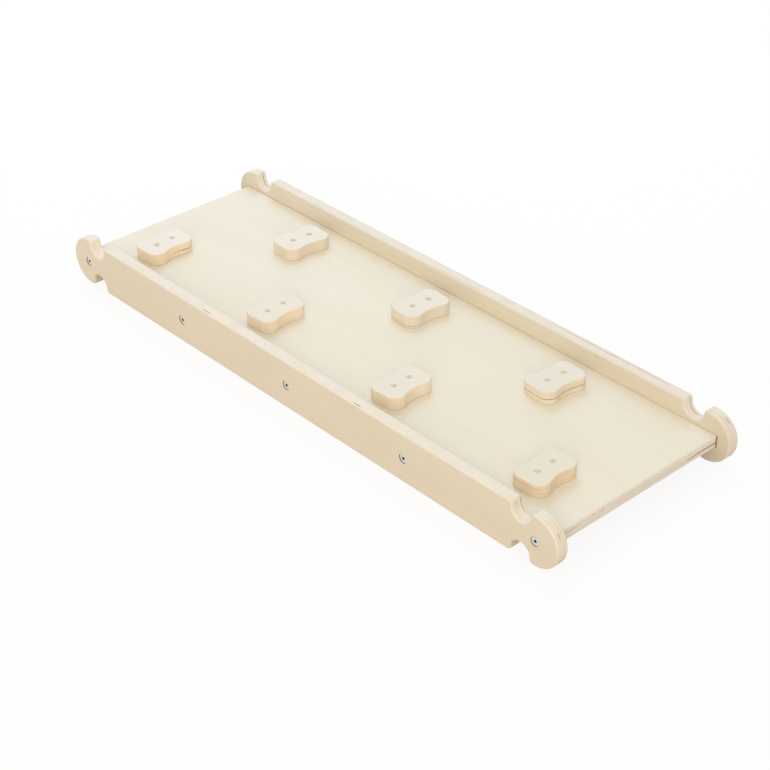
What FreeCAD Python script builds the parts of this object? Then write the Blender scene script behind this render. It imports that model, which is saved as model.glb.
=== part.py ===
"""Reversible plywood ramp for a children's climbing frame: footholds on one side, a slide on the other.

Millimetres. X runs along the ramp, Y across it, Z up. The origin is on the floor under its middle.
"""
import FreeCAD, Part
import math
import os

# Side rails
rail_length = 940.0
rail_height = 70.0
rail_thickness = 18.0
rail_edge_round = 3.0
overall_width = 320.0

# Hook notches, which drop over a round rung
rung_diameter = 28.0
rung_play = 1.0
notch_depth = 20.5
notch_setback = 58.0
notch_corner_extra = 2.0

# Ramp board
board_thickness = 18.0
board_setback = 20.0
board_end_round = 3.0
board_side_round = 0.5

# Footholds
hold_count = 7
hold_length = 75.0
hold_width = 50.0
hold_thickness = 18.0
hold_corner_round = 15.0
hold_waist_depth = 3.75
hold_edge_round = 2.0
hold_end_margin = 81.0
hold_side_margin = 30.0
hold_lean = 3.5

# Connector screws from the rails into the edges of the board
rail_screw_count = 5
rail_screw_head = 13.0
rail_screw_sink = 0.8
rail_screw_rim = 0.6
rail_screw_shank = 7.0
rail_screw_core = 5.0
rail_screw_bite = 32.0
rail_screw_socket = 4.0
rail_screw_socket_depth = 3.0

# Wood screws from the footholds into the face of the board
hold_screw_gap = 28.0
hold_screw_head = 8.6
hold_screw_sink = 0.3
hold_screw_rim = 0.4
hold_screw_shank = 4.5
hold_screw_core = 3.2
hold_screw_cover = 6.0
hold_screw_recess = 5.0
hold_screw_recess_arm = 1.1
hold_screw_recess_depth = 1.7

# Fits shared by every screw, and how much further each one is driven round than the one before
screw_play = 0.1
tip_play = 1.0
screw_turn = 40.0

# Places worked out from the sizes above
mid_height = rail_height / 2
rail_inner = overall_width / 2 - rail_thickness
head_centre = rail_length / 2 - rail_height / 2
notch_radius = rung_diameter / 2 + rung_play
notch_centre = rail_length / 2 - notch_setback
board_length = rail_length - 2 * board_setback
board_top = mid_height + board_thickness / 2
hold_top = board_top + hold_thickness
hold_pitch = (board_length - 2 * hold_end_margin) / (hold_count - 1)
hold_row = rail_inner - hold_side_margin - hold_length / 2
rail_screw_pitch = 2 * head_centre / (rail_screw_count - 1)

up = FreeCAD.Vector(0, 0, 1)
across = FreeCAD.Vector(0, 1, 0)


def at(x, y, z):
    return FreeCAD.Vector(x, y, z)


def rail_blank():
    """The side view of a rail before its notches: a bar with half-round ends."""
    low, high = 0, rail_height
    edges = []
    for end, z, next_z in ((head_centre, low, high), (-head_centre, high, low)):
        tip = math.copysign(rail_length / 2, end)
        edges.append(Part.LineSegment(at(-end, 0, z), at(end, 0, z)).toShape())
        edges.append(Part.Arc(at(end, 0, z), at(tip, 0, mid_height), at(end, 0, next_z)).toShape())
    return Part.Face(Part.Wire(edges))


def notch(x, side):
    """The round seat of one rung and its way in, on the upper (side 1) or lower (side -1) edge of a rail."""
    edge = mid_height + side * rail_height / 2
    centre = edge - side * (notch_depth - notch_radius)
    outside = centre + side * rail_height
    left, right = x - notch_radius, x + notch_radius
    seat = Part.Arc(at(left, 0, centre), at(x, 0, edge - side * notch_depth), at(right, 0, centre)).toShape()
    corners = [at(right, 0, centre), at(right, 0, outside), at(left, 0, outside), at(left, 0, centre)]
    return Part.Face(Part.Wire([seat] + Part.makePolygon(corners).Edges))


def rail_outline():
    """The side view of a rail, with the corners at the mouths of its notches rounded."""
    notches = [notch(x, side) for x in (-notch_centre, notch_centre) for side in (-1, 1)]
    corner_round = rail_edge_round + notch_corner_extra
    return rail_blank().cut(notches).Faces[0].makeOffset2D(-corner_round).makeOffset2D(corner_round)


def screw(head, rim, shank, core, grip, bite, play=0.0, tip=0.0):
    """A countersunk screw along -Z with its head flush at z = 0, or with play the hole that takes it."""
    head_radius = head / 2 + play
    shank_radius = shank / 2 + play
    core_radius = core / 2 + play
    cone = head_radius - shank_radius
    end = grip + bite + tip
    profile = [
        at(0, 0, 0),
        at(head_radius, 0, 0),
        at(head_radius, 0, -rim),
        at(shank_radius, 0, -rim - cone),
        at(shank_radius, 0, -grip),
        at(core_radius, 0, -grip),
        at(core_radius, 0, core_radius - end),
        at(0, 0, -end),
    ]
    outline = Part.Face(Part.makePolygon(profile + profile[:1]))
    return outline.revolve(at(0, 0, 0), up, 360)


def screw_hole(sink, head, rim, shank, core, grip, bite):
    """The countersunk hole of a screw, opened to the surface above its sunk head."""
    hole = screw(head, rim, shank, core, grip, bite, screw_play, tip_play)
    return hole.fuse(Part.makeCylinder(head / 2 + screw_play, sink)).removeSplitter()


def rail_screw_sizes():
    grip = rail_thickness - rail_screw_sink
    return rail_screw_head, rail_screw_rim, rail_screw_shank, rail_screw_core, grip, rail_screw_bite


def hold_screw_sizes():
    grip = hold_thickness - hold_screw_sink
    bite = board_thickness - hold_screw_cover
    return hold_screw_head, hold_screw_rim, hold_screw_shank, hold_screw_core, grip, bite


def connector_screw():
    """A countersunk screw with a hexagon socket."""
    radius = rail_screw_socket / math.sqrt(3)
    turns = [k * math.pi / 3 for k in range(7)]
    hexagon = Part.makePolygon([at(radius * math.cos(turn), radius * math.sin(turn), 0) for turn in turns])
    socket = Part.Face(hexagon).extrude(up * -rail_screw_socket_depth)
    return screw(*rail_screw_sizes()).cut(socket)


def wood_screw():
    """A countersunk screw with a cross recess whose arms slope in to half their length."""
    half = hold_screw_recess / 2
    y = -hold_screw_recess_arm / 2
    low = -hold_screw_recess_depth
    slope = [at(-half, y, 0), at(half, y, 0), at(half / 2, y, low), at(-half / 2, y, low), at(-half, y, 0)]
    blade = Part.Face(Part.makePolygon(slope)).extrude(across * hold_screw_recess_arm)
    crossed = blade.copy()
    crossed.rotate(at(0, 0, 0), up, 90)
    return screw(*hold_screw_sizes()).cut(blade.fuse(crossed))


def on_rail(shape, x, side):
    """Turn a screw or its hole to lie across, and set it at one place on the outside of a rail."""
    placed = shape.copy()
    placed.rotate(at(0, 0, 0), at(1, 0, 0), -90 * side)
    placed.translate(at(x, side * (overall_width / 2 - rail_screw_sink), mid_height))
    return placed


def on_hold(shape, number, z):
    """Turn a shape drawn about a foothold's centre by its lean, and set it on the board."""
    side = hold_side(number)
    placed = shape.copy()
    placed.rotate(at(0, 0, 0), up, -side * hold_lean)
    placed.translate(at(hold_place(number), side * hold_row, z))
    return placed


def hold_place(number):
    return (number - (hold_count + 1) / 2) * hold_pitch


def hold_side(number):
    """Odd footholds stand on the right of the ramp (-Y), even ones on the left."""
    return -1 if number % 2 else 1


def rail_screw_places():
    return [(k - (rail_screw_count - 1) / 2) * rail_screw_pitch for k in range(rail_screw_count)]


def hold_screw_places():
    return [at(0, k * hold_screw_gap / 2, 0) for k in (-1, 1)]


def round_sides(shape, radius):
    """Round every edge of the two flat sides that a piece turns to the left and right."""
    sides = [face for face in shape.Faces if abs(face.normalAt(0, 0).y) > 0.99]
    return shape.makeFillet(radius, [edge for face in sides for edge in face.Edges])


def side_rail(side):
    inner = min(side * rail_inner, side * overall_width / 2)
    rail = round_sides(rail_outline().extrude(across * rail_thickness), rail_edge_round)
    rail.translate(across * inner)
    hole = screw_hole(rail_screw_sink, *rail_screw_sizes())
    return rail.cut([on_rail(hole, x, side) for x in rail_screw_places()])


def ramp_board():
    board = Part.makeBox(board_length, 2 * rail_inner, board_thickness,
                         at(-board_length / 2, -rail_inner, mid_height - board_thickness / 2))
    end_edges = [edge for edge in board.Edges if abs(edge.tangentAt(edge.FirstParameter).y) > 0.99]
    board = round_sides(board.makeFillet(board_end_round, end_edges), board_side_round)
    rail_hole = screw_hole(rail_screw_sink, *rail_screw_sizes())
    holes = [on_rail(rail_hole, x, side) for side in (-1, 1) for x in rail_screw_places()]
    hold_hole = screw_hole(hold_screw_sink, *hold_screw_sizes())
    for number in range(1, hold_count + 1):
        for place in hold_screw_places():
            holes.append(on_hold(hold_hole.translated(place), number, hold_top - hold_screw_sink))
    return board.cut(holes)


def foothold_outline():
    """Flat ends, round corners, and a hollow arc on each long side that runs smoothly into the corners."""
    radius = hold_corner_round
    corner_x = hold_width / 2 - radius
    corner_y = hold_length / 2 - radius
    inset = radius - hold_waist_depth
    hollow = (inset ** 2 + corner_y ** 2 - radius ** 2) / (2 * hold_waist_depth)
    hollow_x = corner_x + inset + hollow
    turn = math.atan2(corner_y, hollow_x - corner_x)
    waist = at(hollow_x - hollow, 0, 0)
    join = at(corner_x + radius * math.cos(turn), corner_y - radius * math.sin(turn), 0)
    middle = (math.pi / 2 - turn) / 2
    corner = at(corner_x + radius * math.cos(middle), corner_y + radius * math.sin(middle), 0)
    end = at(corner_x, hold_length / 2, 0)

    def flip(point, x, y):
        return at(x * point.x, y * point.y, 0)

    edges = []
    for x in (1, -1):
        for y in (1, -1):
            edges.append(Part.Arc(flip(end, x, y), flip(corner, x, y), flip(join, x, y)).toShape())
        edges.append(Part.Arc(flip(join, x, 1), flip(waist, x, 1), flip(join, x, -1)).toShape())
    for y in (1, -1):
        edges.append(Part.LineSegment(flip(end, -1, y), flip(end, 1, y)).toShape())
    return Part.Face(Part.Wire(Part.__sortEdges__(edges)))


def foothold(number):
    block = foothold_outline().extrude(up * hold_thickness)
    upper = [edge for edge in block.Edges if min(v.Z for v in edge.Vertexes) > hold_thickness / 2]
    block = block.makeFillet(hold_edge_round, upper)
    hole = screw_hole(hold_screw_sink, *hold_screw_sizes())
    top = at(0, 0, hold_thickness - hold_screw_sink)
    block = block.cut([hole.translated(place + top) for place in hold_screw_places()])
    return on_hold(block, number, board_top)


def write(name, shape):
    shape.exportStep("parts/" + name + ".step")


os.makedirs("parts", exist_ok=True)

write("ramp_board", ramp_board())
for rail_name, rail_side in (("right", -1), ("left", 1)):
    write(rail_name + "_side_rail", side_rail(rail_side))
    for count, screw_x in enumerate(rail_screw_places(), 1):
        driven = connector_screw().rotated(at(0, 0, 0), up, count * screw_turn)
        write(rail_name + "_rail_screw_" + str(count), on_rail(driven, screw_x, rail_side))
for hold in range(1, hold_count + 1):
    write("foothold_" + str(hold), foothold(hold))
    for count, screw_place in enumerate(hold_screw_places(), 1):
        name = "foothold_" + str(hold) + "_screw_" + str(count)
        driven = wood_screw().rotated(at(0, 0, 0), up, (hold + count) * screw_turn)
        write(name, on_hold(driven.translated(screw_place), hold, hold_top - hold_screw_sink))
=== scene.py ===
import math

import bmesh
import bpy
from mathutils import Color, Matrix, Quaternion, Vector


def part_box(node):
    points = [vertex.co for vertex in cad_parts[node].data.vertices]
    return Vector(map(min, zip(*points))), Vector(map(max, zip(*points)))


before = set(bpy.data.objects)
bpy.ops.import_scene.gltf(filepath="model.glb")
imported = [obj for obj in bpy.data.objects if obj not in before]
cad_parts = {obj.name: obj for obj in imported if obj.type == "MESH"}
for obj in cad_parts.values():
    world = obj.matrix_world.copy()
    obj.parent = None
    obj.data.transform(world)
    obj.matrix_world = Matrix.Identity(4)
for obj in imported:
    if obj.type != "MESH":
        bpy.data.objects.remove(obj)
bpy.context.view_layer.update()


# Ramp board
# One sheet of nine-ply birch, sanded and clear lacquered, with its two ends rounded over and its long
# edges eased. It lies between the rails at mid height, so that either face can be used, and the rail
# screws hold it by its long edges.
board_low, board_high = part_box("ramp_board")
plies = 9
board_face_pale = (240, 235, 219)
board_face_dark = (231, 223, 201)
board_cut_pale = (240, 236, 227)
board_cut_dark = (229, 220, 207)
# Colour of the glue lines and open seams, and of the painted shade where pieces meet
board_glue_and_shade = (128, 94, 62)
board_glue_lines = 0.12
# Each seam: how many plies up, its start, end and fade along the edge, how dark and how broken it is
board_seams = (
    (3.85, 0.080, 0.146, 0.012, 0.95, 0.0),
    (4.3, 0.096, 0.146, 0.012, 0.7, 0.0),
    (3.85, -0.005, 0.146, 0.030, 0.3, 0.0),
    (6.8, -0.082, -0.074, 0.002, 0.5, 0.0),
    (5.6, -0.067, -0.058, 0.002, 0.5, 0.0),
    (5.5, -0.146, -0.100, 0.004, 0.4, 0.0),
)
face_roughness = 0.5
cut_roughness = 0.62
lacquer = 0.08
lacquer_roughness = 0.35
grain_depth = 0.0002
grain_strength = 0.2
# Painted shade where pieces meet: its reach, how dark it is along the board's long edges and towards the
# far end, and the painted shadow in each corner's gap
joint_reach = 0.0014
joint_shade = 0.35
back_end_shade = 0.6
back_end_from = -0.23
back_end_fade = 0.03
corner_gap = 0.0022


def tint(red, green, blue):
    """A colour as it shows on a screen, turned into the light values that a shader takes."""
    seen = Color((red / 255, green / 255, blue / 255))
    return [*seen.from_srgb_to_scene_linear(), 1.0]


def plug(tree, socket, value):
    """Link a socket, or set a plain value."""
    if isinstance(value, bpy.types.NodeSocket):
        tree.links.new(value, socket)
    else:
        socket.default_value = value


def shade(tree, kind, settings=(), **inputs):
    """A shader node with its settings, and with inputs given by name."""
    made = tree.nodes.new("ShaderNode" + kind)
    for name, value in dict(settings).items():
        setattr(made, name, value)
    for name, value in inputs.items():
        plug(tree, made.inputs[name.replace("_", " ")], value)
    return made


def figure(tree, operation, *values, clamp=False):
    """The result of one sum."""
    made = shade(tree, "Math", {"operation": operation, "use_clamp": clamp})
    for socket, value in zip(made.inputs, values):
        plug(tree, socket, value)
    return made.outputs[0]


def product(tree, first, *others):
    """Several values multiplied together."""
    for value in others:
        first = figure(tree, "MULTIPLY", first, value)
    return first


def highest(tree, first, *others):
    """The highest of several values."""
    for value in others:
        first = figure(tree, "MAXIMUM", first, value)
    return first


def weighed(tree, less, *parts):
    """Values added up by their weights, less a plain amount, and held between 0 and 1."""
    total = 0.0
    for value, weight in parts:
        total = figure(tree, "MULTIPLY_ADD", value, weight, total)
    return figure(tree, "SUBTRACT", total, less, clamp=True)


def stretch(tree, vector, *scales):
    """Coordinates multiplied along each axis."""
    made = shade(tree, "VectorMath", {"operation": "MULTIPLY"})
    plug(tree, made.inputs[0], vector)
    made.inputs[1].default_value = scales
    return made.outputs[0]


def split(tree, vector):
    """The three parts of a vector, by the names of their axes."""
    return shade(tree, "SeparateXYZ", Vector=vector).outputs


def ramp(tree, value, start, end, low=0.0, high=1.0):
    """A value carried smoothly from one range to another, and held at its ends."""
    made = shade(tree, "MapRange", {"interpolation_type": "SMOOTHSTEP"}, Value=value)
    for name, number in (("From Min", start), ("From Max", end), ("To Min", low), ("To Max", high)):
        plug(tree, made.inputs[name], number)
    return made.outputs[0]


def fall(tree, value, start, end, high=1.0):
    """A value that sinks smoothly to nothing over a range."""
    return ramp(tree, value, start, end, low=high, high=0.0)


def mix(tree, share, first, second, kind="RGBA"):
    """Two colours mixed by a share, or two numbers where the kind is FLOAT."""
    made = shade(tree, "Mix", {"data_type": kind})
    usable = [socket for socket in made.inputs if socket.enabled]
    for socket, value in zip(usable, (share, first, second)):
        plug(tree, socket, value)
    return next(socket for socket in made.outputs if socket.enabled)


def cloud(tree, vector, scales, detail=2.0, roughness=0.5, distortion=0.0):
    """A soft noise, with so many waves to the metre along each axis."""
    made = shade(tree, "TexNoise", Vector=stretch(tree, vector, *scales), Scale=1.0, Detail=detail,
                 Roughness=roughness, Distortion=distortion)
    return made.outputs["Fac"]


def new_group(name, inputs, outputs):
    """An empty node group with named sockets."""
    tree = bpy.data.node_groups.new(name, "ShaderNodeTree")
    for label, kind in inputs.items():
        tree.interface.new_socket(label, in_out="INPUT", socket_type="NodeSocket" + kind)
    for label, kind in outputs.items():
        tree.interface.new_socket(label, in_out="OUTPUT", socket_type="NodeSocket" + kind)
    return tree, tree.nodes.new("NodeGroupInput").outputs, tree.nodes.new("NodeGroupOutput").inputs


def use_group(tree, group, **inputs):
    """A group placed in a material, with its inputs given by name."""
    made = tree.nodes.new("ShaderNodeGroup")
    made.node_tree = group
    for name, value in inputs.items():
        plug(tree, made.inputs[name.replace("_", " ")], value)
    return made.outputs


def new_material(name):
    """A material with its own surface shader, and the coordinates of the piece that wears it."""
    material = bpy.data.materials.new(name)
    material.use_nodes = True
    tree = material.node_tree
    places = tree.nodes.new("ShaderNodeTexCoord")
    return material, tree, tree.nodes["Principled BSDF"], places.outputs


def finish(name, material):
    """Give a CAD piece its material."""
    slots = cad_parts[name].data.materials
    slots.clear()
    slots.append(material)


def birch_veneer():
    """The face of a rotary-cut birch veneer, grain along X: wide soft figure, fibres and short flecks."""
    ring_scales = (0.9, 7, 7)
    ring_turns = 55.0
    ring_share = 0.15
    fibre_scales = (18, 800, 800)
    fibre_share = 0.90
    cloud_scales = (5, 14, 14)
    cloud_share = 0.35
    kept_pale = 0.42
    fleck_scales = (170, 1500, 1500)
    fleck_start = 0.66
    fleck_full = 0.74
    fleck_share = 0.7
    fleck_height = -0.6
    tree, given, result = new_group(
        "birch_veneer",
        {"Vector": "Vector", "Pale": "Color", "Dark": "Color"},
        {"Color": "Color", "Height": "Float"})
    place = given["Vector"]
    rings = cloud(tree, place, ring_scales, detail=1.0, roughness=0.4, distortion=0.2)
    rings = figure(tree, "SINE", figure(tree, "MULTIPLY", rings, ring_turns))
    rings = figure(tree, "MULTIPLY_ADD", rings, 0.5, 0.5)
    fibres = cloud(tree, place, fibre_scales, detail=3.0, roughness=0.6)
    clouds = cloud(tree, place, cloud_scales)
    flecks = ramp(tree, cloud(tree, place, fleck_scales, detail=1.0), fleck_start, fleck_full)
    share = weighed(tree, kept_pale, (rings, ring_share), (fibres, fibre_share), (clouds, cloud_share))
    share = figure(tree, "MULTIPLY_ADD", flecks, fleck_share, share)
    plug(tree, result["Color"], mix(tree, share, given["Pale"], given["Dark"]))
    plug(tree, result["Height"], figure(tree, "MULTIPLY_ADD", flecks, fleck_height, fibres))
    return tree


def ply_edge():
    """The cut edge of the sheet: plies with their grain along and across in turn, and glue between them.

    Level counts the plies through the sheet. A ply that is cut across its fibres is darker. Seam is 1 in
    an open seam.
    """
    top_level = plies - 0.001
    pore_scales = (1100, 1100, 1100)
    streak_scales = (30, 700, 700)
    cloud_scales = (40, 40, 40)
    end_grain_share = 0.2
    own_tone_share = 0.12
    speckle_share = 0.4
    cloud_share = 0.5
    kept_pale = 0.33
    line_core = 0.03
    line_edge = 0.16
    line_missing = 0.35
    line_whole = 0.65
    line_height = -1.5
    tree, given, result = new_group(
        "ply_edge",
        {"Vector": "Vector", "Level": "Float", "Long End": "Float", "Cross End": "Float",
         "Pale": "Color", "Dark": "Color", "Glue": "Color", "Lines": "Float", "Seam": "Float"},
        {"Color": "Color", "Height": "Float"})
    place = given["Vector"]
    level = figure(tree, "MINIMUM", figure(tree, "MAXIMUM", given["Level"], 0.0), top_level)
    ply = figure(tree, "FLOOR", level)
    within = figure(tree, "FRACT", level)
    crossed = figure(tree, "MODULO", ply, 2.0)
    end_grain = mix(tree, crossed, given["Long End"], given["Cross End"], "FLOAT")
    own_tone = shade(tree, "TexWhiteNoise", {"noise_dimensions": "1D"}, W=ply).outputs["Value"]
    pores = cloud(tree, place, pore_scales, roughness=0.6)
    streaks = cloud(tree, place, streak_scales)
    speckle = mix(tree, end_grain, streaks, pores, "FLOAT")
    clouds = cloud(tree, place, cloud_scales)
    tone = weighed(tree, kept_pale, (end_grain, end_grain_share), (own_tone, own_tone_share),
                   (speckle, speckle_share), (clouds, cloud_share))
    colour = mix(tree, tone, given["Pale"], given["Dark"])
    to_line = figure(tree, "MINIMUM", within, figure(tree, "SUBTRACT", 1.0, within))
    line = product(tree, fall(tree, to_line, line_core, line_edge),
                   ramp(tree, clouds, line_missing, line_whole), given["Lines"])
    dark = highest(tree, line, given["Seam"])
    plug(tree, result["Color"], mix(tree, dark, colour, given["Glue"]))
    plug(tree, result["Height"], figure(tree, "MULTIPLY_ADD", dark, line_height, speckle))
    return tree


def ply_seam():
    """A dark open seam some plies up the sheet, along part of its edge. Breaks is 0 where it may close."""
    seam_core = 0.12
    seam_edge = 0.42
    end_fade = 0.004
    tree, given, result = new_group(
        "ply_seam",
        {"Level": "Float", "Along": "Float", "Breaks": "Float", "Up": "Float", "Start": "Float",
         "End": "Float", "Fade": "Float", "Dark": "Float", "Broken": "Float"},
        {"Mask": "Float"})
    off = figure(tree, "ABSOLUTE", figure(tree, "SUBTRACT", given["Level"], given["Up"]))
    past_start = figure(tree, "SUBTRACT", given["Along"], given["Start"])
    begun = figure(tree, "DIVIDE", past_start, given["Fade"], clamp=True)
    to_end = figure(tree, "SUBTRACT", given["End"], given["Along"])
    unended = figure(tree, "DIVIDE", to_end, end_fade, clamp=True)
    whole = mix(tree, given["Broken"], 1.0, given["Breaks"], "FLOAT")
    mask = product(tree, fall(tree, off, seam_core, seam_edge), begun, unended, whole, given["Dark"])
    plug(tree, result["Mask"], mask)
    return tree


veneer = birch_veneer()
edge = ply_edge()
open_seam = ply_seam()


def plywood(name, sheet, face, cut, glue_and_shade, lines, seams, painted_shade_of):
    """Lacquered plywood.

    sheet gives the axis through its thickness, the axis across its grain, the axis its open seams run
    along, and where its two faces lie. face and cut each have a pale and a dark colour. glue_and_shade
    colours the glue lines and open seams, and also the painted shade. painted_shade_of gives the share
    of painted shade at joints, gaps and hollows where another piece lies against the wood.
    """
    waver_scales = (70, 70, 70)
    waver_plies = 0.8
    break_scales = (260, 260, 260)
    break_shut = 0.45
    break_open = 0.55
    turned_to_edge = 0.65
    turned_to_face = 0.97
    thick, cross, run, low, high = sheet
    material, tree, surface, places = new_material(name)
    place = places["Object"]
    where = split(tree, place)
    turned = split(tree, places["Normal"])
    level = figure(tree, "SUBTRACT", figure(tree, "ABSOLUTE", where[thick]), low)
    level = figure(tree, "MULTIPLY", level, plies / (high - low))
    waver = cloud(tree, place, waver_scales, detail=1.0)
    wavy = figure(tree, "SUBTRACT", level, waver_plies / 2)
    wavy = figure(tree, "MULTIPLY_ADD", waver, waver_plies, wavy)
    breaks = ramp(tree, cloud(tree, place, break_scales, detail=1.0), break_shut, break_open)
    dark = 0.0
    for up, start, end, fade, darkness, broken in seams:
        seam = use_group(tree, open_seam, Level=wavy, Along=where[run], Breaks=breaks, Up=up,
                         Start=start, End=end, Fade=fade, Dark=darkness, Broken=broken)
        dark = highest(tree, dark, seam["Mask"])
    face_pale, face_dark = face
    sheet_face = use_group(tree, veneer, Vector=place, Pale=tint(*face_pale), Dark=tint(*face_dark))
    cut_pale, cut_dark = cut
    sheet_edge = use_group(
        tree, edge, Vector=place, Level=level, Long_End=figure(tree, "ABSOLUTE", turned["X"]),
        Cross_End=figure(tree, "ABSOLUTE", turned[cross]), Pale=tint(*cut_pale), Dark=tint(*cut_dark),
        Glue=tint(*glue_and_shade), Lines=lines, Seam=dark)
    flat = ramp(tree, figure(tree, "ABSOLUTE", turned[thick]), turned_to_edge, turned_to_face)
    wood = mix(tree, flat, sheet_edge["Color"], sheet_face["Color"])
    # Painted shade: the wood mixed toward the glue colour by the share that painted_shade_of gives
    plug(tree, surface.inputs["Base Color"], mix(tree, painted_shade_of(tree, where), wood, tint(*glue_and_shade)))
    plug(tree, surface.inputs["Roughness"], mix(tree, flat, cut_roughness, face_roughness, "FLOAT"))
    height = mix(tree, flat, sheet_edge["Height"], sheet_face["Height"], "FLOAT")
    relief = shade(tree, "Bump", Strength=grain_strength, Distance=grain_depth, Height=height)
    plug(tree, surface.inputs["Normal"], relief.outputs[0])
    surface.inputs["Coat Weight"].default_value = lacquer
    surface.inputs["Coat Roughness"].default_value = lacquer_roughness
    return material


def board_painted_shade(tree, where):
    """Painted shade along the long edges, darker towards one end, and painted shadow in each corner's gap.
    """
    along = figure(tree, "ABSOLUTE", where["X"])
    across = figure(tree, "ABSOLUTE", where["Y"])
    butted = product(
        tree, ramp(tree, across, board_high.y - joint_reach, board_high.y - joint_reach / 4),
        ramp(tree, where["X"], back_end_from - back_end_fade, back_end_from,
             low=back_end_shade, high=joint_shade))
    gap = product(
        tree, ramp(tree, along, board_high.x - corner_gap, board_high.x - corner_gap / 2),
        ramp(tree, across, board_high.y - corner_gap / 2, board_high.y - corner_gap / 4))
    return highest(tree, butted, gap)


finish("ramp_board", plywood(
    "board_plywood", ("Z", "Y", "Y", board_low.z, board_high.z), (board_face_pale, board_face_dark),
    (board_cut_pale, board_cut_dark), board_glue_and_shade, board_glue_lines, board_seams, board_painted_shade))


# Side rails
# Two bars of the same plywood on edge, cut with round heads and a hook notch above and below each end, and
# with every edge rounded over. The sheet's thickness runs across the ramp, and the two bars differ a
# little in tone.
rail_low, rail_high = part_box("left_side_rail")
screw_low, screw_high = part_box("left_rail_screw_1")
next_screw_low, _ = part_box("left_rail_screw_2")
screw_middle = (screw_low + screw_high) / 2
screw_radius = (screw_high.x - screw_low.x) / 2
screw_pitch = next_screw_low.x - screw_low.x
rail_face_pale = (237, 229, 210)
rail_face_dark = (226, 214, 190)
rail_cut_pale = (239, 232, 219)
rail_cut_dark = (227, 216, 199)
# Colour of the glue lines and open seams, and of the painted shade where pieces meet
rail_glue_and_shade = (132, 100, 68)
rail_glue_lines = 0.1
# Each rail: the tones of its faces and of its cut edges, then its seams
rail_bars = {
    "right": (
        (1.0, 1.0, 1.0), (1.015, 1.015, 1.015),
        (7.15, -0.176, -0.157, 0.004, 0.9, 0.0),
        (7.6, 0.125, 0.141, 0.004, 0.9, 0.0),
        (4.9, 0.004, 0.014, 0.004, 0.5, 0.0),
        (5.55, 0.394, 0.403, 0.001, 0.3, 0.0),
        (3.65, 0.394, 0.403, 0.001, 0.3, 0.0),
        (1.35, 0.394, 0.406, 0.001, 0.7, 0.0),
        (5.2, 0.461, 0.468, 0.001, 0.7, 0.0),
        (3.2, 0.420, 0.474, 0.010, 0.2, 0.6),
    ),
    "left": (
        (0.992, 0.985, 0.975), (1.0, 1.0, 1.0),
        (1.3, -0.054, 0.043, 0.020, 0.3, 0.3),
        (6.0, 0.145, 0.366, 0.060, 0.55, 0.2),
        (5.6, 0.451, 0.460, 0.002, 0.9, 0.0),
        (5.7, 0.394, 0.414, 0.002, 0.85, 0.0),
        (5.7, -0.431, -0.413, 0.002, 0.8, 0.0),
        (3.4, 0.420, 0.474, 0.010, 0.2, 0.6),
    ),
}
# Painted shade: the inner face a little darker, darker where the board butts on it, in the gap past the
# board's end and in a ring round each screw hole
inner_shade = 0.1
inner_reach = 0.004
butt_shade = 0.25
gap_shade = 0.8
hole_shade = 0.8
hole_wall = 0.0001
hole_edge = 0.0004


def rail_painted_shade(tree, where):
    """Painted shade on the inner face, at the board's butt on it, in the gap past its end and round the
    screw holes.
    """
    along = figure(tree, "ABSOLUTE", where["X"])
    across = figure(tree, "ABSOLUTE", where["Y"])
    up = where["Z"]
    inside = fall(tree, across, rail_low.y, rail_low.y + inner_reach, inner_shade)
    touching = fall(tree, across, rail_low.y + joint_reach / 4, rail_low.y + joint_reach / 2)
    butted = product(
        tree, butt_shade, touching,
        fall(tree, along, board_high.x - joint_reach / 2, board_high.x),
        ramp(tree, up, board_low.z, board_low.z + joint_reach / 2),
        fall(tree, up, board_high.z - joint_reach / 2, board_high.z))
    gap = product(
        tree, gap_shade, touching,
        ramp(tree, along, board_high.x - joint_reach / 2, board_high.x),
        fall(tree, along, board_high.x + corner_gap / 2, board_high.x + corner_gap),
        ramp(tree, up, board_low.z - joint_reach / 2, board_low.z + joint_reach / 2),
        fall(tree, up, board_high.z - joint_reach, board_high.z - joint_reach / 4))
    off_x = figure(tree, "PINGPONG", where["X"], screw_pitch / 2)
    off_z = figure(tree, "SUBTRACT", up, screw_middle.z)
    off = figure(tree, "SQRT", figure(tree, "MULTIPLY_ADD", off_x, off_x, product(tree, off_z, off_z)))
    hole = fall(tree, off, screw_radius + hole_wall, screw_radius + hole_edge, hole_shade)
    return highest(tree, butted, hole, inside, gap)


def toned(tone, *colours):
    """Colours of the wood, turned a little to the tone of one piece."""
    return [[share * value for share, value in zip(tone, colour)] for colour in colours]


for side, (face_tone, cut_tone, *seams) in rail_bars.items():
    finish(side + "_side_rail", plywood(
        side + "_rail_plywood", ("Y", "Z", "X", rail_low.y, rail_high.y),
        toned(face_tone, rail_face_pale, rail_face_dark), toned(cut_tone, rail_cut_pale, rail_cut_dark),
        rail_glue_and_shade, rail_glue_lines, seams, rail_painted_shade))


# Rail screws
# Ten zinc-plated connector screws with a hexagon socket, five through each rail into the edge of the
# board. Their flat heads lie just under the surface of the wood.
head_face = screw_high.y
rail_zinc_pale = (238, 238, 230)
rail_zinc_dark = (192, 192, 184)
# The socket is painted nearly black, as painted shade in the recess
rail_socket_shade = (52, 48, 44)
recess_rim = 0.0004
scratch_depth = 0.00005
scratch_strength = 0.1


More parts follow.
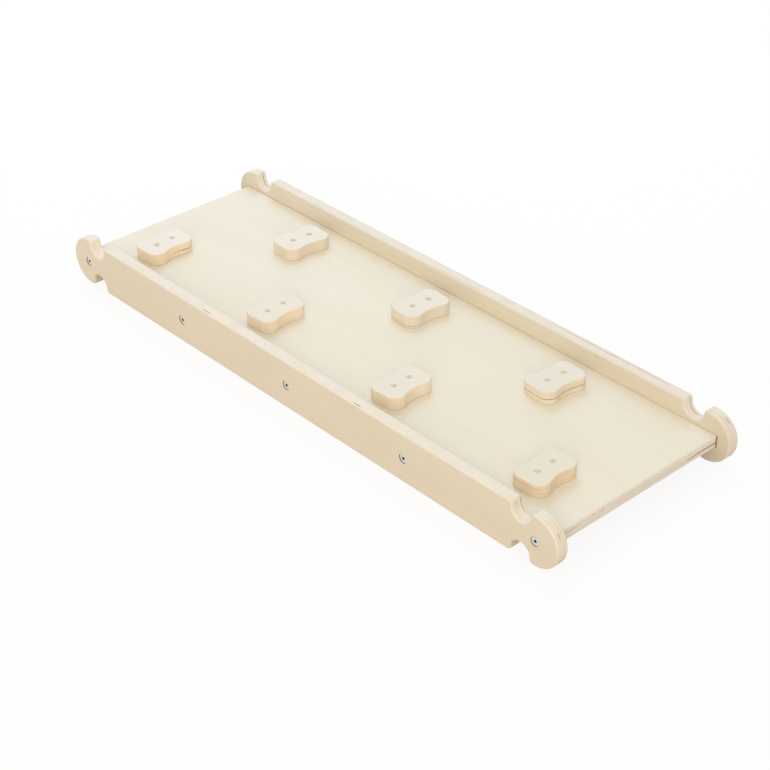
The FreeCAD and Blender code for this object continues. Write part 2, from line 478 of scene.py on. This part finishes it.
def zinc_plate():
    """Bright zinc with a faint cloudy bloom and fine scratches."""
    bloom_scales = (500, 500, 500)
    bloom_share = 0.5
    bloom_bright = 0.3
    bloom_dull = 0.7
    bright_roughness = 0.34
    dull_roughness = 0.48
    scratch_scales = (900, 5000, 2500)
    scratch_share = 0.4
    tree, given, result = new_group(
        "zinc_plate", {"Vector": "Vector", "Pale": "Color", "Dark": "Color"},
        {"Color": "Color", "Roughness": "Float", "Height": "Float"})
    place = given["Vector"]
    bloom = cloud(tree, place, bloom_scales, detail=3.0, roughness=0.6)
    scratches = cloud(tree, place, scratch_scales, detail=1.0)
    share = weighed(tree, 0.0, (bloom, bloom_share), (scratches, scratch_share))
    rough = ramp(tree, bloom, bloom_bright, bloom_dull, low=bright_roughness, high=dull_roughness)
    plug(tree, result["Color"], mix(tree, share, given["Pale"], given["Dark"]))
    plug(tree, result["Roughness"], rough)
    plug(tree, result["Height"], scratches)
    return tree


zinc = zinc_plate()


def screw_steel(name, pale, dark, sunk_colour, sunk_of):
    """Zinc-plated steel, with sunk_colour painted as light and shade in the driver's recess, where sunk_of
    gives 1.
    """
    material, tree, surface, places = new_material(name)
    plate = use_group(tree, zinc, Vector=places["Object"], Pale=tint(*pale), Dark=tint(*dark))
    sunk = sunk_of(tree, split(tree, places["Object"]))
    plug(tree, surface.inputs["Base Color"], mix(tree, sunk, plate["Color"], tint(*sunk_colour)))
    plug(tree, surface.inputs["Roughness"], plate["Roughness"])
    relief = shade(tree, "Bump", Strength=scratch_strength, Distance=scratch_depth, Height=plate["Height"])
    plug(tree, surface.inputs["Normal"], relief.outputs[0])
    surface.inputs["Metallic"].default_value = 1.0
    return material


def rail_socket(tree, where):
    """The hexagon socket, which lies further in than the face of the head and is painted dark as shade."""
    across = figure(tree, "ABSOLUTE", where["Y"])
    return fall(tree, across, head_face - recess_rim, head_face - recess_rim / 4)


rail_screw_steel = screw_steel(
    "rail_screw_steel", rail_zinc_pale, rail_zinc_dark, rail_socket_shade, rail_socket)
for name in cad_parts:
    if "_rail_screw_" in name:
        finish(name, rail_screw_steel)


# Footholds
# Seven waisted blocks of the same plywood with the upper edge eased, in two staggered rows. Each was sawn
# from another part of the sheet, so each has its own tones and shows other seams. Two screws hold each one.
hold_low, hold_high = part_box("foothold_1")
hold_face_pale = (240, 235, 225)
hold_face_dark = (231, 224, 208)
hold_cut_pale = (238, 223, 202)
hold_cut_dark = (227, 205, 176)
# Colour of the glue lines and open seams, and of the painted shade at the foot
hold_glue_and_shade = (142, 106, 68)
hold_glue_lines = 0.08
# Painted shade at the foot of each block, where it lies on the board
hold_foot_shade = 0.35
# Each block: the tones of its face and of its cut edge, then its seams, placed from the block's middle
hold_blocks = {
    "foothold_1": (
        (1.01, 1.0, 1.002), (1.022, 1.025, 1.0),
        (4.0, 0.000, 0.036, 0.004, 0.95, 0.8),
        (3.3, -0.004, 0.030, 0.006, 0.7, 0.8),
    ),
    "foothold_2": (
        (1.002, 0.992, 0.988), (0.975, 0.99, 0.997),
    ),
    "foothold_3": (
        (0.995, 0.986, 0.961), (1.03, 1.03, 1.03),
        (2.0, -0.030, 0.030, 0.020, 0.3, 0.4),
    ),
    "foothold_4": (
        (0.99, 0.99, 0.974), (0.975, 0.994, 1.016),
        (1.8, -0.042, -0.016, 0.001, 0.5, 0.2),
    ),
    "foothold_5": (
        (0.994, 0.993, 0.979), (1.015, 1.02, 1.017),
    ),
    "foothold_6": (
        (0.979, 0.983, 0.969), (0.988, 1.004, 1.009),
        (3.9, -0.040, 0.030, 0.003, 0.9, 0.1),
        (5.2, 0.004, 0.030, 0.006, 0.25, 0.8),
    ),
    "foothold_7": (
        (0.979, 0.979, 0.95), (0.98, 0.973, 0.95),
        (6.4, -0.042, -0.031, 0.001, 0.45, 0.3),
        (3.0, -0.036, 0.030, 0.010, 0.25, 0.5),
    ),
}


def hold_painted_shade(tree, where):
    """Painted shade at the foot of the block, where it lies on the board."""
    return fall(tree, where["Z"], hold_low.z + joint_reach / 4, hold_low.z + joint_reach, hold_foot_shade)


for name, (face_tone, cut_tone, *seams) in hold_blocks.items():
    low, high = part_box(name)
    middle = (low.y + high.y) / 2
    placed = [(up, middle + start, middle + end, *rest) for up, start, end, *rest in seams]
    finish(name, plywood(
        name + "_plywood", ("Z", "Y", "Y", hold_low.z, hold_high.z),
        toned(face_tone, hold_face_pale, hold_face_dark), toned(cut_tone, hold_cut_pale, hold_cut_dark),
        hold_glue_and_shade, hold_glue_lines, placed, hold_painted_shade))


# Foothold screws
# Two zinc-plated wood screws with a cross recess go down through each foothold into the board. Their
# countersunk heads lie a hair under the face of the block.
_, hold_screw_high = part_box("foothold_1_screw_1")
hold_zinc_pale = (230, 224, 208)
hold_zinc_dark = (216, 209, 192)
# The cross recess is painted paler than the head, as painted light against the shade in it
hold_recess_light = (248, 244, 235)


def hold_recess(tree, where):
    """The cross recess, which lies deeper than the face of the head and is painted pale as painted light.
    """
    return fall(tree, where["Z"], hold_screw_high.z - recess_rim, hold_screw_high.z - recess_rim / 4)


hold_screw_steel = screw_steel(
    "hold_screw_steel", hold_zinc_pale, hold_zinc_dark, hold_recess_light, hold_recess)
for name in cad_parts:
    if name.startswith("foothold_") and "_screw_" in name:
        finish(name, hold_screw_steel)


# Floor
# A wide white studio floor, level with the lower edges of the rails. The camera sees it close to white,
# and it keeps the soft shadow of the ramp.
floor_half = 12.0
floor_pale = (0.64, 0.54, 0.45, 1)
floor_roughness = 0.9
floor_lift = 0.88
white = (1, 1, 1, 1)


def blend(tree, share, first, second):
    """Two shaders mixed by a share."""
    made = shade(tree, "MixShader", Fac=share)
    plug(tree, made.inputs[1], first.outputs[0])
    plug(tree, made.inputs[2], second.outputs[0])
    return made


def shown_as(tree, usual, seen):
    """One shader for the light that a thing sends on, and another for what is seen of it."""
    path = tree.nodes.new("ShaderNodeLightPath").outputs
    direct = highest(tree, path["Is Camera Ray"], path["Is Glossy Ray"], path["Is Transmission Ray"])
    return blend(tree, direct, usual, seen).outputs[0]


shape = bmesh.new()
bmesh.ops.create_grid(shape, x_segments=1, y_segments=1, size=floor_half)
floor_mesh = bpy.data.meshes.new("studio_floor")
shape.to_mesh(floor_mesh)
shape.free()
floor = bpy.data.objects.new("studio_floor", floor_mesh)
bpy.context.scene.collection.objects.link(floor)
floor_material, tree, surface, _ = new_material("studio_floor")
surface.inputs["Base Color"].default_value = floor_pale
surface.inputs["Roughness"].default_value = floor_roughness
surface.inputs["Specular IOR Level"].default_value = 0.0
lit = shade(tree, "BsdfDiffuse", Color=white)
glow = shade(tree, "Emission", Color=white, Strength=1.0)
lifted = blend(tree, floor_lift, lit, glow)
plug(tree, tree.nodes["Material Output"].inputs["Surface"], shown_as(tree, surface, lifted))
floor_mesh.materials.append(floor_material)


# Light
# An even, slightly warm white room, a cool softbox above and behind the far end of the ramp, a wide fill
# behind the camera, and a low warm fill on the side away from it.
room_colour = (1.0, 0.915, 0.78, 1)
room_light = 0.71
softbox_colour = (0.42, 0.64, 1.0)
fill_colour = (1.0, 0.97, 0.945)
back_fill_colour = (1.0, 0.92, 0.78)

world = bpy.data.worlds.new("white_room")
bpy.context.scene.world = world
world.use_nodes = True
tree = world.node_tree
room = tree.nodes["Background"]
room.inputs["Color"].default_value = room_colour
room.inputs["Strength"].default_value = room_light
backdrop = shade(tree, "Background", Color=white, Strength=1.0)
plug(tree, tree.nodes["World Output"].inputs["Surface"], shown_as(tree, room, backdrop))


def soft_lamp(name, place, size, power, colour):
    """A square lamp that faces the middle of the ramp."""
    lamp = bpy.data.lights.new(name, "AREA")
    lamp.energy = power
    lamp.size = size
    lamp.color = colour
    stand = bpy.data.objects.new(name, lamp)
    stand.location = place
    stand.visible_glossy = False
    stand.visible_camera = False
    stand.rotation_euler = (-Vector(place)).to_track_quat("-Z", "Y").to_euler()
    bpy.context.scene.collection.objects.link(stand)


soft_lamp("softbox", place=(-1.7, 1.3, 2.4), size=1.8, power=39.0, colour=softbox_colour)
soft_lamp("fill", place=(7.2, -9.0, 5.8), size=8.8, power=660.0, colour=fill_colour)
soft_lamp("back_fill", place=(-4.2, 5.2, 0.9), size=4.4, power=75.0, colour=back_fill_colour)


# Camera
# It stands off the near right corner and looks down along the ramp, as in the photograph. Its place, aim
# and lens were fitted to the edges of the rails and to the heads of their screws.
camera_place = Vector((1.5132, -1.3676, 1.3114))
camera_aim = Vector((0.0849, -0.0675, 0.0350))
camera_roll = -0.34
focal_pixels = 1822.0
frame_pixels = 770.0
sensor_width = 36.0

view = bpy.data.cameras.new("camera")
view.sensor_width = sensor_width
view.lens = sensor_width * focal_pixels / frame_pixels
camera = bpy.data.objects.new("camera", view)
camera.location = camera_place
upright = (camera_aim - camera_place).to_track_quat("-Z", "Y")
camera.rotation_euler = (upright @ Quaternion((0, 0, 1), math.radians(camera_roll))).to_euler()
bpy.context.scene.collection.objects.link(camera)
bpy.context.scene.camera = camera
bpy.context.scene.view_settings.view_transform = "Standard"
